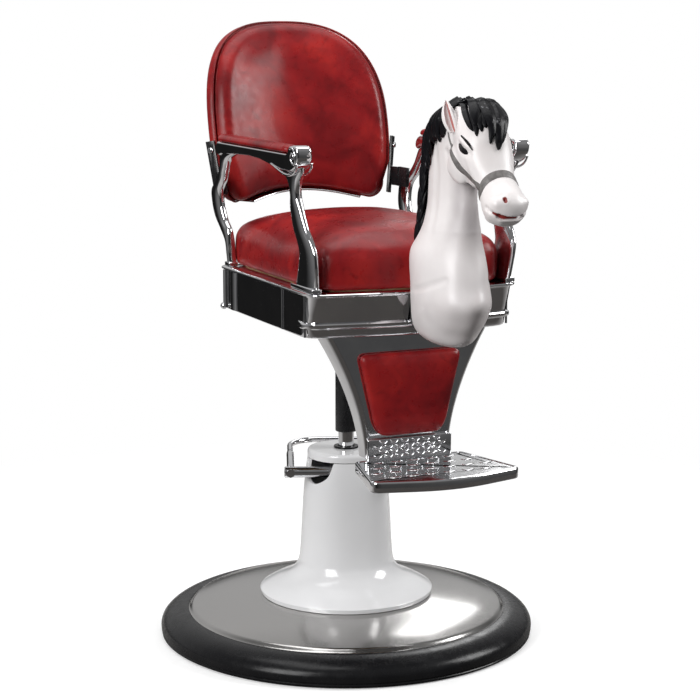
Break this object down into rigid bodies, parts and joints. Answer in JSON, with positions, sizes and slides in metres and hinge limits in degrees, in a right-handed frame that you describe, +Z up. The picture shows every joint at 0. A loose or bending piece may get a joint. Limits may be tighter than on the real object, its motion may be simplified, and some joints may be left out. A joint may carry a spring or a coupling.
{
  "type": "kids barber chair",
  "caption": "Children's barber chair with a horse's head and chest on the seat front, red upholstery, chrome arms and footrest, pump pedal lift and round swivel base.",
  "frame": {"origin": "on the floor, under the swivel axis, in the middle of the base plate's foot", "axes": "+Z up along the swivel axis; the seat faces -Y; +X to the sitter's left"},
  "size_m": [0.65, 0.915, 1.0525],
  "materials": {
    "black_rubber": "satin black rubber",
    "cast_iron": "dark painted casting",
    "brushed_steel": "brushed round and round",
    "white_enamel": "gloss white enamel",
    "plain_steel": "plain machined steel",
    "bronze": "machined bearing bronze",
    "chrome": "polished chrome plate",
    "spring_steel": "oiled spring wire",
    "black_paint": "satin black paint",
    "plywood": "raw plywood",
    "red_leather": "mottled red upholstery leather",
    "white_gelcoat": "gloss white gelcoat",
    "black_gelcoat": "gloss black gelcoat"
  },
  "bodies": {
    "pedestal": {"floor_ring": "black_rubber", "base_plate": "cast_iron", "base_cover": "brushed_steel", "pedestal_cover": "white_enamel", "pedestal_cap": "white_enamel", "pump_cylinder": "plain_steel", "pump_gland": "bronze", "pump_bolt_1": "plain_steel", "pump_bolt_2": "plain_steel", "pump_bolt_3": "plain_steel", "pump_head": "cast_iron", "pump_barrel": "cast_iron"},
    "pedal": {"pedal_shaft": "chrome", "pedal_loop": "chrome", "pedal_crank": "cast_iron"},
    "plunger": {"pump_plunger": "plain_steel", "plunger_spring": "spring_steel"},
    "ram": {"lift_ram": "chrome", "thrust_bearing": "bronze"},
    "chair": {"swivel_hub": "cast_iron", "cross_rail_front": "plain_steel", "cross_rail_rear": "plain_steel", "mounting_plate": "plain_steel", "plate_bolt_1": "plain_steel", "plate_bolt_2": "plain_steel", "plate_bolt_3": "plain_steel", "plate_bolt_4": "plain_steel", "arm_bolt_left_front": "plain_steel", "arm_bolt_left_rear": "plain_steel", "arm_bolt_right_front": "plain_steel", "arm_bolt_right_rear": "plain_steel", "strap_bolt_left": "plain_steel", "strap_bolt_right": "plain_steel", "panel_bolt_left": "plain_steel", "panel_bolt_right": "plain_steel", "foot_bolt_left": "plain_steel", "foot_bolt_right": "plain_steel", "mount_bolt_1": "plain_steel", "mount_bolt_2": "plain_steel", "seat_frame": "chrome", "arm_left": "chrome", "arm_right": "chrome", "back_trim": "chrome", "leg_panel": "chrome", "footrest": "chrome", "horse_mount": "chrome", "post_sleeve": "black_paint", "back_bracket_left": "black_paint", "back_bracket_right": "black_paint", "seat_board": "plywood", "seat_cushion": "red_leather", "back_shell": "red_leather", "back_cushion": "red_leather", "arm_pad_left": "red_leather", "arm_pad_right": "red_leather", "calf_pad": "red_leather", "horse_body": "white_gelcoat", "horse_mane": "black_gelcoat", "horse_forelock": "black_gelcoat"}
  },
  "joints": [
    {"name": "lift", "type": "slide", "parent": "pedestal", "child": "ram", "axis": [0, 0, 1], "range_m": [0, 0.14]},
    {"name": "swivel", "type": "hinge", "parent": "ram", "child": "chair", "pos_m": [0, 0, 0.5], "axis": [0, 0, 1], "continuous": true},
    {"name": "pedal", "type": "hinge", "parent": "pedestal", "child": "pedal", "pos_m": [-0.01573, -0.03894, 0.292], "axis": [-0.9272, 0.3746, 0], "range_deg": [0, 14], "stiffness_Nm_per_rad": 6, "springref_deg": -14.32},
    {"name": "plunger_push", "type": "slide", "parent": "pedestal", "child": "plunger", "axis": [0, 0, -1], "range_m": [0, 0.0088], "deforming": ["plunger_spring"]}
  ],
  "couplings": [
    {"joint": "plunger_push", "follows": "pedal", "m_per_rad": 0.034}
  ]
}
